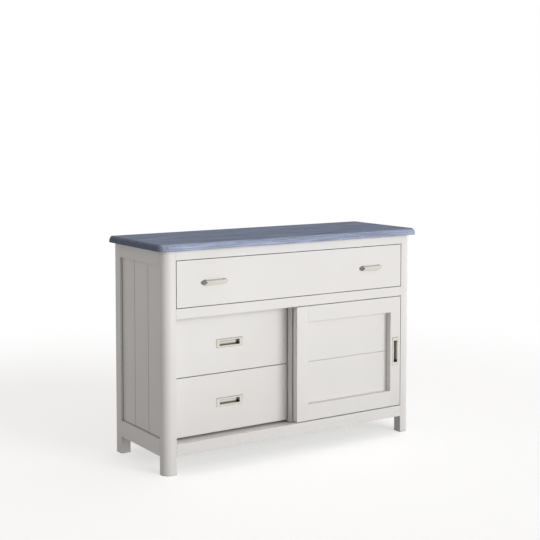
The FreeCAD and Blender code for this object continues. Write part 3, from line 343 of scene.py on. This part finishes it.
@dataclass(frozen=True)
class Finish:
    """What every finish has: a name and the shader's plain values."""

    name: str
    ior: float = 1.45

    def material(self, effects: Effects, grain: Grain = Grain.ALONG_X) -> bpy.types.Material:
        """Makes the material for pieces whose grain runs one way.

        Args:
            effects: The shared node groups.
            grain: Which way the grain runs.

        Returns:
            The material, or the one made before under that name.
        """
        label = f"{self.name}_{grain.name.lower()}"
        known = bpy.data.materials.get(label)
        if known:
            return known
        made = bpy.data.materials.new(label)
        made.use_nodes = True
        graph = Graph(made.node_tree)
        shader = graph.add("ShaderNodeBsdfPrincipled", {"IOR": self.ior})
        graph.add("ShaderNodeOutputMaterial", {"Surface": shader.outputs[0]})
        place = graph.add("ShaderNodeTexCoord").outputs["Object"]
        axes = graph.add("ShaderNodeSeparateXYZ", {0: place}).outputs
        order = {number: axes[axis] for number, axis in enumerate(grain.value)}
        position = graph.add("ShaderNodeCombineXYZ", order).outputs[0]
        for socket, value in self.looks(graph, effects, position).items():
            graph.feed(shader.inputs[socket], value)
        return made

    def looks(self, graph: Graph, effects: Effects, position: bpy.types.NodeSocket) -> dict[str, Feed]:
        """Builds what is special to the finish.

        Args:
            graph: The material's node tree.
            effects: The shared node groups.
            position: The place on the piece, with X along the grain.

        Returns:
            What each of the shader's inputs gets.
        """
        raise NotImplementedError


@dataclass(frozen=True)
class StainedWood(Finish):
    """A matt blue-grey stain that leaves the streaks of the grain."""

    dark: Colour = (0.180, 0.216, 0.300)
    deep: Colour = (0.180, 0.216, 0.305)
    light: Colour = (0.566, 0.634, 0.828)
    pore: Colour = (0.120, 0.146, 0.215)
    # lighter stain along the edges: partly wear, partly a painted highlight on the rounded arrises
    wear_and_highlight: Colour = (0.480, 0.540, 0.690)
    # darker end grain, which also stands as painted shade on the board's ends
    end: Colour = (0.130, 0.150, 0.205)
    streak_length: float = 0.16
    streak_width: float = 0.0035
    figure_size: float = 0.022
    edge_radius: float = 0.0012
    figure_share: float = 0.45
    pore_share: float = 0.5
    end_grain_and_shade_share: float = 0.8
    wear_and_highlight_share: float = 0.25
    sheen: tuple[float, float] = (0.72, 0.58)

    def looks(self, graph: Graph, effects: Effects, position: bpy.types.NodeSocket) -> dict[str, Feed]:
        """Builds the streaked stain; see Finish.looks."""
        grain = effects.grain.place(
            graph, Position=position, Length=self.streak_length, Width=self.streak_width,
            Figure=self.figure_size,
        ).outputs
        edge = effects.edge.place(graph, Radius=self.edge_radius).outputs
        # mask of the faces across the grain, the board's ends
        facing = graph.add("ShaderNodeTexCoord").outputs["Normal"]
        across = graph.add("ShaderNodeSeparateXYZ", {0: facing}).outputs["X"]
        end = graph.remap(graph.math("ABSOLUTE", across), 0.5, 0.9)
        tone = graph.blend(grain["Streaks"], self.dark, self.light)
        tone = graph.tint(tone, self.deep, grain["Figure"], self.figure_share)
        tone = graph.tint(tone, self.pore, grain["Pores"], self.pore_share)
        # darker ends: end grain soaking up more stain, and painted shade on the ends
        tone = graph.tint(tone, self.end, end, self.end_grain_and_shade_share)
        # lighter edges: partly wear, partly a painted highlight on the arrises
        tone = graph.tint(tone, self.wear_and_highlight, edge["Edge"], self.wear_and_highlight_share)
        relief = graph.math("SUBTRACT", grain["Streaks"], grain["Pores"])
        return {
            "Base Color": tone,
            "Roughness": graph.remap(grain["Streaks"], 0.0, 1.0, self.sheen),
            "Specular IOR Level": 0.0,
            "Normal": graph.bump(relief, 0.35, 0.00025, edge["Normal"]),
        }


@dataclass(frozen=True)
class Lacquer(Finish):
    """A satin off-white lacquer, a little warm, with a faint drift of tone and a fine sprayed relief."""

    light: Colour = (0.792, 0.778, 0.764)
    dark: Colour = (0.758, 0.743, 0.727)
    # painted highlight: the lighter colour along the edges
    edge_highlight: Colour = (0.890, 0.878, 0.862)
    # painted shade: the dark colour laid into joints, gaps and grooves, and how much of it shows there
    shade: Colour = (0.110, 0.098, 0.085)
    gap_shade_share: float = 1.0
    drift: float = 0.35
    peel: float = 0.0025
    edge_radius: float = 0.0014
    # how much of the painted edge highlight shows
    edge_highlight_share: float = 0.7
    gap_reach: float = 0.003
    sheen: tuple[float, float] = (0.46, 0.38)

    def looks(self, graph: Graph, effects: Effects, position: bpy.types.NodeSocket) -> dict[str, Feed]:
        """Builds the paint film; see Finish.looks."""
        film = effects.film.place(graph, Position=position, Drift=self.drift, Peel=self.peel).outputs
        edge = effects.edge.place(graph, Radius=self.edge_radius).outputs
        shaded_gap = effects.crevice.place(graph, Reach=self.gap_reach).outputs["Depth"]
        tone = graph.blend(film["Tone"], self.dark, self.light)
        # painted highlight along the edges, where the arrises catch the light
        tone = graph.tint(tone, self.edge_highlight, edge["Edge"], self.edge_highlight_share)
        # painted shade in the joints, gaps and grooves, by the crevice mask
        tone = graph.tint(tone, self.shade, shaded_gap, self.gap_shade_share)
        return {
            "Base Color": tone,
            "Roughness": graph.remap(film["Tone"], 0.0, 1.0, self.sheen),
            "Normal": graph.bump(film["Relief"], 0.12, 0.0002, edge["Normal"]),
        }


@dataclass(frozen=True)
class BareWood(Finish):
    """Pale hardwood or plywood under a clear matt coat."""

    dark: Colour = (0.50, 0.37, 0.23)
    light: Colour = (0.70, 0.57, 0.40)
    pore: Colour = (0.36, 0.25, 0.15)
    streak_length: float = 0.16
    streak_width: float = 0.002
    figure_size: float = 0.014
    edge_radius: float = 0.0008
    figure_share: float = 0.6
    pore_share: float = 0.35
    sheen: tuple[float, float] = (0.62, 0.5)

    def looks(self, graph: Graph, effects: Effects, position: bpy.types.NodeSocket) -> dict[str, Feed]:
        """Builds the clear wood; see Finish.looks."""
        grain = effects.grain.place(
            graph, Position=position, Length=self.streak_length, Width=self.streak_width,
            Figure=self.figure_size,
        ).outputs
        edge = effects.edge.place(graph, Radius=self.edge_radius).outputs
        mixed = graph.weigh(grain["Figure"], grain["Streaks"], self.figure_share)
        tone = graph.blend(mixed, self.dark, self.light)
        tone = graph.tint(tone, self.pore, grain["Pores"], self.pore_share)
        return {
            "Base Color": tone,
            "Roughness": graph.remap(grain["Streaks"], 0.0, 1.0, self.sheen),
            "Normal": graph.bump(grain["Streaks"], 0.3, 0.0002, edge["Normal"]),
        }


@dataclass(frozen=True)
class Metal(Finish):
    """A metal whose fine lines and clouds vary its shine, with painted shade in its recesses and cups."""

    light: Colour = (0.78, 0.755, 0.70)
    dark: Colour = (0.70, 0.675, 0.615)
    # painted shade: the dark colour laid into recesses such as the pulls' cups
    shade: Colour = (0.080, 0.066, 0.042)
    sheen: tuple[float, float] = (0.22, 0.28)
    line_length: float = 0.03
    line_width: float = 0.00035
    edge_radius: float = 0.0004
    recess: float = 0.010
    shade_share: float = 0.9

    def looks(self, graph: Graph, effects: Effects, position: bpy.types.NodeSocket) -> dict[str, Feed]:
        """Builds the metal; see Finish.looks."""
        scratches = effects.scratches.place(
            graph, Position=position, Length=self.line_length, Width=self.line_width,
        ).outputs
        edge = effects.edge.place(graph, Radius=self.edge_radius).outputs
        shaded_gap = effects.crevice.place(graph, Reach=self.recess).outputs["Depth"]
        mixed = graph.weigh(scratches["Lines"], scratches["Clouds"], 0.5)
        tone = graph.blend(mixed, self.dark, self.light)
        return {
            # painted shade in recesses, such as the pulls' cups and beside the flanges, by the crevice mask
            "Base Color": graph.tint(tone, self.shade, shaded_gap, self.shade_share),
            "Metallic": 1.0,
            "Roughness": graph.remap(mixed, 0.0, 1.0, self.sheen),
            "Normal": graph.bump(scratches["Lines"], 0.02, 0.00005, edge["Normal"]),
        }


@dataclass(frozen=True)
class Nylon(Finish):
    """Off-white moulded nylon with a fine skin."""

    light: Colour = (0.80, 0.80, 0.77)
    dark: Colour = (0.70, 0.70, 0.67)
    drift: float = 0.02
    peel: float = 0.0006
    edge_radius: float = 0.0004
    sheen: tuple[float, float] = (0.5, 0.36)

    def looks(self, graph: Graph, effects: Effects, position: bpy.types.NodeSocket) -> dict[str, Feed]:
        """Builds the moulded skin; see Finish.looks."""
        film = effects.film.place(graph, Position=position, Drift=self.drift, Peel=self.peel).outputs
        edge = effects.edge.place(graph, Radius=self.edge_radius).outputs
        return {
            "Base Color": graph.blend(film["Tone"], self.dark, self.light),
            "Roughness": graph.remap(film["Relief"], 0.35, 0.65, self.sheen),
            "Normal": graph.bump(film["Relief"], 0.2, 0.0001, edge["Normal"]),
        }


# Screws
@dataclass(frozen=True)
class CrossScrew:
    """The head of a cross-recess screw, turned as a shallow dome and cut with its cross."""

    radius: float = 0.0036
    rise: float = 0.0015
    flat: float = 0.0026
    arm: float = 0.0019
    slot: float = 0.0007
    depth: float = 0.0009
    sides: int = 20
    rings: int = 3

    def add_to(self, mesh: bmesh.types.BMesh, place: Vector, out: Vector) -> None:
        """Adds one head to a mesh.

        Args:
            mesh: The mesh that takes the head.
            place: The middle of the head's seat.
            out: The way that the head faces.
        """
        turn = out.to_track_quat("Z", "Y").to_matrix().to_4x4()
        seat = Matrix.Translation(place) @ turn
        angles = [2 * math.pi * side / self.sides for side in range(self.sides)]
        loops = []
        for ring in range(self.rings + 1):
            lean = math.pi / 2 * ring / self.rings
            reach = self.flat + (self.radius - self.flat) * math.cos(lean)
            height = self.rise * math.sin(lean)
            loops.append([
                mesh.verts.new(seat @ Vector((reach * math.cos(angle), reach * math.sin(angle), height)))
                for angle in angles
            ])
        mesh.faces.new(reversed(loops[0]))
        for low, high in zip(loops, loops[1:]):
            self.wall(mesh, low, high)
        cross = self.cross_points()
        rim = [mesh.verts.new(seat @ Vector((x, y, self.rise))) for x, y in cross]
        foot = [mesh.verts.new(seat @ Vector((x, y, self.rise - self.depth))) for x, y in cross]
        edges = [mesh.edges.get((a, b)) for a, b in zip(loops[-1], loops[-1][1:] + loops[-1][:1])]
        edges += [mesh.edges.new((a, b)) for a, b in zip(rim, rim[1:] + rim[:1])]
        bmesh.ops.triangle_fill(mesh, use_beauty=True, use_dissolve=False, edges=edges)
        self.wall(mesh, rim, foot)
        for arm in range(4):
            mesh.faces.new([foot[(3 * arm + step) % 12] for step in range(3)] + [foot[(3 * arm + 11) % 12]])
        mesh.faces.new([foot[3 * arm + 2] for arm in range(4)])

    def cross_points(self) -> list[tuple[float, float]]:
        """Returns the twelve corners of the cross, two at each arm's end and one between arms."""
        points = []
        for arm in range(4):
            turn = Matrix.Rotation(math.pi / 2 * arm, 2)
            for spot in ((self.arm, -self.slot), (self.arm, self.slot), (self.slot, self.slot)):
                points.append(tuple(turn @ Vector(spot)))
        return points

    @staticmethod
    def wall(mesh: bmesh.types.BMesh, low: list, high: list) -> None:
        """Joins two closed rings of points with four-sided faces."""
        for here in range(len(low)):
            after = (here + 1) % len(low)
            mesh.faces.new((low[here], low[after], high[after], high[here]))


@dataclass
class ScrewSet:
    """The screw heads of one piece, as one mesh that rides on that piece's body."""

    name: str
    body: str
    places: list[Vector]
    out: Vector
    head: CrossScrew = field(default_factory=CrossScrew)

    def build(self, material: bpy.types.Material) -> None:
        """Builds the heads and lets them ride on their body.

        Args:
            material: The screws' material.
        """
        mesh = bmesh.new()
        for place in self.places:
            self.head.add_to(mesh, place, self.out)
        bmesh.ops.recalc_face_normals(mesh, faces=mesh.faces)
        data = bpy.data.meshes.new(self.name)
        mesh.to_mesh(data)
        mesh.free()
        data.materials.append(material)
        piece = bpy.data.objects.new(self.name, data)
        bpy.context.scene.collection.objects.link(piece)
        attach(piece, self.body)
        LOG.info("%s: %d heads on %s", self.name, len(self.places), self.body)


# Sub-assemblies
@dataclass
class Finishes:
    """The object's finishes."""

    effects: Effects
    stain: Finish = StainedWood("blue_stain")
    paint: Finish = Lacquer("off_white_lacquer")
    # the door's paint: the same lacquer with much less painted shade in its joints and grooves
    door_paint: Finish = Lacquer("door_lacquer", gap_shade_share=0.04)
    wood: Finish = BareWood("clear_birch")
    nickel: Finish = Metal("satin_nickel")
    zinc: Finish = Metal(
        "zinc_plate", light=(0.62, 0.64, 0.66), dark=(0.46, 0.48, 0.50), sheen=(0.3, 0.48),
        line_length=0.012, line_width=0.0008,
    )
    nylon: Finish = Nylon("white_nylon")

    def dress(self, finish: Finish, nodes: list[str], grain: Grain = Grain.ALONG_X) -> None:
        """Gives CAD nodes a finish.

        Args:
            finish: The finish.
            nodes: The names of the nodes.
            grain: Which way their grain runs.
        """
        material = finish.material(self.effects, grain)
        for name in nodes:
            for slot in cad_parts[name].material_slots:
                slot.material = material
        LOG.info("%s, %s: %s", finish.name, grain.name.lower(), ", ".join(nodes))


@dataclass
class Carcass:
    """The fixed case: top, posts, rails, boards, back, partition, shelf and the fixed ironwork."""

    deck_screws: tuple[float, ...] = (-0.51, -0.255, 0.0, 0.255, 0.51)
    partition_screws: tuple[float, ...] = (0.2, 0.33, 0.46)

    def dress(self, finishes: Finishes) -> None:
        """Gives each fixed node its finish.

        Args:
            finishes: The object's finishes.
        """
        sides = ("left", "right")
        uprights = [f"{end}_{side}_post" for end in ("front", "back") for side in sides]
        uprights += [f"{side}_side_boards" for side in sides] + ["partition", "side_battens"]
        side_rails = [f"{side}_{place}_rail" for side in sides for place in ("top", "bottom")]
        crosswise = ["front_top_rail", "middle_rail", "bottom_rail", "floor_board", "drawer_deck"]
        finishes.dress(finishes.stain, ["top_board"])
        finishes.dress(finishes.paint, uprights, Grain.ALONG_Z)
        finishes.dress(finishes.paint, side_rails, Grain.ALONG_Y)
        finishes.dress(finishes.paint, crosswise)
        finishes.dress(finishes.wood, ["back_rails", "back_panel", "cupboard_shelf"])
        finishes.dress(finishes.zinc, ["door_track", "shelf_pins"])
        finishes.dress(finishes.zinc, ["fixed_slide_channels"], Grain.ALONG_Y)

    def build(self, finishes: Finishes) -> None:
        """Adds the screws that hold the back to the deck and to the partition.

        Args:
            finishes: The object's finishes.
        """
        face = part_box("back_panel")[1].y
        low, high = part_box("drawer_deck")
        height = (low.z + high.z) / 2
        places = [Vector((x, face, height)) for x in self.deck_screws]
        low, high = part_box("partition")
        places += [Vector(((low.x + high.x) / 2, face, z)) for z in self.partition_screws]
        zinc = finishes.zinc.material(finishes.effects)
        ScrewSet("back_panel_screws", "carcass", places, Vector((0, 1, 0))).build(zinc)


@dataclass
class Drawer:
    """One drawer with its box, its slides and its handles or its flush pull."""

    name: str
    carriers: str
    metal: list[str]
    screws: list[str] = field(default_factory=list)

    def dress(self, finishes: Finishes) -> None:
        """Gives each of the drawer's nodes its finish.

        Args:
            finishes: The object's finishes.
        """
        finishes.dress(finishes.paint, [f"{self.name}_front"])
        finishes.dress(finishes.wood, [f"{self.name}_left_side", f"{self.name}_right_side"], Grain.ALONG_Y)
        finishes.dress(finishes.wood, [f"{self.name}_back", f"{self.name}_bottom"])
        finishes.dress(finishes.zinc, [f"{self.name}_runners", self.carriers], Grain.ALONG_Y)
        finishes.dress(finishes.nickel, self.metal)
        finishes.dress(finishes.zinc, self.screws)


@dataclass
class SlidingDoor:
    """The framed door with its two planks, its upright pull, its hangers, guides and wheels."""

    hanger_thickness: float = 0.002
    hanger_screw_drop: float = 0.052
    hanger_screw_spread: float = 0.012
    guide_screw_drop: float = 0.012

    def dress(self, finishes: Finishes) -> None:
        """Gives each of the door's nodes its finish.

        Args:
            finishes: The object's finishes.
        """
        finishes.dress(finishes.door_paint, ["door_left_stile", "door_right_stile"], Grain.ALONG_Z)
        finishes.dress(finishes.door_paint, ["door_top_rail", "door_bottom_rail", "door_planks"])
        finishes.dress(finishes.nickel, ["door_pull"], Grain.ALONG_Z)
        finishes.dress(finishes.zinc, ["door_hangers"], Grain.ALONG_Z)
        finishes.dress(finishes.nylon, ["door_guides", "left_roller", "right_roller"])

    def build(self, finishes: Finishes) -> None:
        """Adds the screws of the hangers and of the guides.

        Args:
            finishes: The object's finishes.
        """
        zinc = finishes.zinc.material(finishes.effects)
        away = Vector((0, 1, 0))
        middles = [sum(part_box(f"{side}_roller")[end].x for end in (0, 1)) / 2 for side in ("left", "right")]
        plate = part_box("door_left_stile")[1].y + self.hanger_thickness
        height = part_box("door_hangers")[1].z - self.hanger_screw_drop
        places = [
            Vector((middle + spread, plate, height))
            for middle in middles for spread in (-self.hanger_screw_spread, self.hanger_screw_spread)
        ]
        ScrewSet("hanger_screws", "door", places, away, CrossScrew(radius=0.0034, rise=0.0013)).build(zinc)
        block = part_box("door_guides")[1]
        places = [Vector((middle, block.y, block.z - self.guide_screw_drop)) for middle in middles]
        ScrewSet("guide_screws", "door", places, away).build(zinc)


# Studio
@dataclass
class Studio:
    """A white floor and background, one soft key light from the front right, and the camera.

    Angles are in degrees. The dark tone is how bright the dark parts of the room are in reflections.
    """

    camera_place: tuple[float, float, float] = (-2.4752, -3.7597, 1.2768)
    camera_yaw: float = 33.386
    camera_pitch: float = 3.580
    camera_lens: float = 75.67
    camera_shift: float = -0.14
    camera_reach: float = 60.0
    key_azimuth: float = 21.0
    key_height: float = 7.0
    key_strength: float = 2.13
    key_width: float = 36.0
    key_distance: float = 6.0
    left_light: Colour = (0.524, 0.500, 0.476)
    right_light: Colour = (0.700, 0.700, 0.705)
    overhead: float = 0.57
    dark_share: float = 0.3
    dark_side: tuple[float, float, float] = (-0.406, -0.914, 0.0)
    dark_spread: tuple[float, float] = (0.70, 0.87)
    dark_ceiling: tuple[float, float] = (0.45, 0.90)
    dark_tone: float = 0.10
    floor_size: float = 6.4
    floor_tone: float = 0.60
    floor_shown: float = 0.85
    floor_white: float = 0.500
    floor_fade: tuple[float, float] = (1.3, 3.1)

    def build(self) -> None:
        """Sets the picture's look and builds the camera, the light, the world and the floor."""
        scene = bpy.context.scene
        scene.view_settings.view_transform = "Standard"
        self.aim_camera(scene)
        self.hang_key(scene)
        self.light_world(scene)
        self.lay_floor(scene)

    def aim_camera(self, scene: bpy.types.Scene) -> None:
        """Adds the camera at the photograph's viewpoint.

        Args:
            scene: The scene.
        """
        data = bpy.data.cameras.new("camera")
        data.lens = self.camera_lens
        data.shift_y = self.camera_shift
        data.clip_end = self.camera_reach
        camera = bpy.data.objects.new("camera", data)
        camera.location = self.camera_place
        camera.rotation_euler = (math.radians(90 - self.camera_pitch), 0, math.radians(-self.camera_yaw))
        scene.collection.objects.link(camera)
        scene.camera = camera

    def hang_key(self, scene: bpy.types.Scene) -> None:
        """Adds the soft key light.

        Args:
            scene: The scene.
        """
        data = bpy.data.lights.new("key", "SUN")
        data.energy = self.key_strength
        data.angle = math.radians(self.key_width)
        side, height = math.radians(self.key_azimuth), math.radians(self.key_height)
        level = math.cos(height)
        toward = Vector((math.sin(side) * level, -math.cos(side) * level, math.sin(height)))
        key = bpy.data.objects.new("key", data)
        key.rotation_euler = toward.to_track_quat("Z", "Y").to_euler()
        key.location = toward * self.key_distance
        key.visible_glossy = False
        scene.collection.objects.link(key)

    def light_world(self, scene: bpy.types.Scene) -> None:
        """Makes the world a soft light that the camera sees as white.

        The light is brighter on the right, dimmer overhead and a little dimmer behind the photographer.
        Shiny surfaces see white too, apart from a dark room overhead and behind the photographer.

        Args:
            scene: The scene.
        """
        world = bpy.data.worlds.new("studio")
        world.use_nodes = True
        scene.world = world
        graph = Graph(world.node_tree)
        direction = graph.add("ShaderNodeTexCoord").outputs["Generated"]
        part = graph.add("ShaderNodeSeparateXYZ", {0: direction}).outputs
        sides = graph.blend(graph.remap(part["X"], -1.0, 1.0), self.left_light, self.right_light)
        inputs = {0: direction, 1: self.dark_side}
        toward = graph.add("ShaderNodeVectorMath", inputs, operation="DOT_PRODUCT").outputs["Value"]
        room = graph.remap(toward, *self.dark_spread, soft=True)
        level = graph.math(
            "MULTIPLY", graph.remap(part["Z"], 0.0, 1.0, (1.0, self.overhead)),
            graph.remap(room, 0.0, 1.0, (1.0, 1.0 - self.dark_share)),
        )
        mirror = graph.add("ShaderNodeLightPath").outputs["Is Glossy Ray"]
        ceiling = graph.remap(part["Z"], *self.dark_ceiling)
        dark = graph.math("MULTIPLY", graph.math("MAXIMUM", room, ceiling), mirror)
        soft = graph.add("ShaderNodeBackground", {"Color": sides, "Strength": level})
        shown = {"Color": (1.0, 1.0, 1.0), "Strength": graph.remap(dark, 0.0, 1.0, (1.0, self.dark_tone))}
        white = graph.add("ShaderNodeBackground", shown)
        mixed = graph.add("ShaderNodeMixShader", {0: self.seen(graph), 1: soft.outputs[0], 2: white.outputs[0]})
        graph.add("ShaderNodeOutputWorld", {"Surface": mixed.outputs[0]})

    @staticmethod
    def seen(graph: Graph) -> bpy.types.NodeSocket:
        """Returns 1 for a ray that shows the background: straight, in a reflection or through glass."""
        path = graph.add("ShaderNodeLightPath").outputs
        first, second, third = (path[name] for name in SHOWN_RAYS)
        return graph.math("MAXIMUM", graph.math("MAXIMUM", first, second), third)

    def lay_floor(self, scene: bpy.types.Scene) -> None:
        """Lays the floor, which keeps a pale shadow and turns to the background's white further out.

        Args:
            scene: The scene.
        """
        half = self.floor_size / 2
        data = bpy.data.meshes.new("floor")
        corners = [(-half, -half, 0), (half, -half, 0), (half, half, 0), (-half, half, 0)]
        data.from_pydata(corners, [], [(0, 1, 2, 3)])
        floor = bpy.data.objects.new("floor", data)
        material = bpy.data.materials.new("white_floor")
        material.use_nodes = True
        graph = Graph(material.node_tree)
        lit = graph.add("ShaderNodeBsdfDiffuse", {"Color": (self.floor_tone,) * 3})
        shade = graph.add("ShaderNodeBsdfDiffuse", {"Color": (self.floor_shown,) * 3})
        glow = graph.add("ShaderNodeEmission", {"Color": (1.0, 1.0, 1.0), "Strength": self.floor_white})
        shaded = graph.add("ShaderNodeAddShader", {0: shade.outputs[0], 1: glow.outputs[0]})
        white = graph.add("ShaderNodeEmission", {"Color": (1.0, 1.0, 1.0), "Strength": 1.0})
        place = graph.add("ShaderNodeTexCoord").outputs["Object"]
        away = graph.add("ShaderNodeVectorMath", {0: place}, operation="LENGTH").outputs["Value"]
        fade = graph.remap(away, *self.floor_fade, soft=True)
        shown = graph.add("ShaderNodeMixShader", {0: fade, 1: shaded.outputs[0], 2: white.outputs[0]})
        mixed = graph.add("ShaderNodeMixShader", {0: self.seen(graph), 1: lit.outputs[0], 2: shown.outputs[0]})
        graph.add("ShaderNodeOutputMaterial", {"Surface": mixed.outputs[0]})
        data.materials.append(material)
        scene.collection.objects.link(floor)


def main() -> None:
    """Builds and dresses the sub-assemblies in order, then the studio."""
    logging.basicConfig(level=logging.INFO, format="%(name)s: %(message)s")
    finishes = Finishes(Effects())
    carcass = Carcass()
    carcass.dress(finishes)
    carcass.build(finishes)
    drawers = [
        Drawer("top_drawer", "top_slide_carriers", ["left_bow_handle", "right_bow_handle"], ["handle_screws"]),
        Drawer("upper_drawer", "upper_slide_carriers", ["upper_drawer_pull"]),
        Drawer("lower_drawer", "lower_slide_carriers", ["lower_drawer_pull"]),
    ]
    for drawer in drawers:
        drawer.dress(finishes)
    door = SlidingDoor()
    door.dress(finishes)
    door.build(finishes)
    Studio().build()


if __name__ == "__main__":
    main()
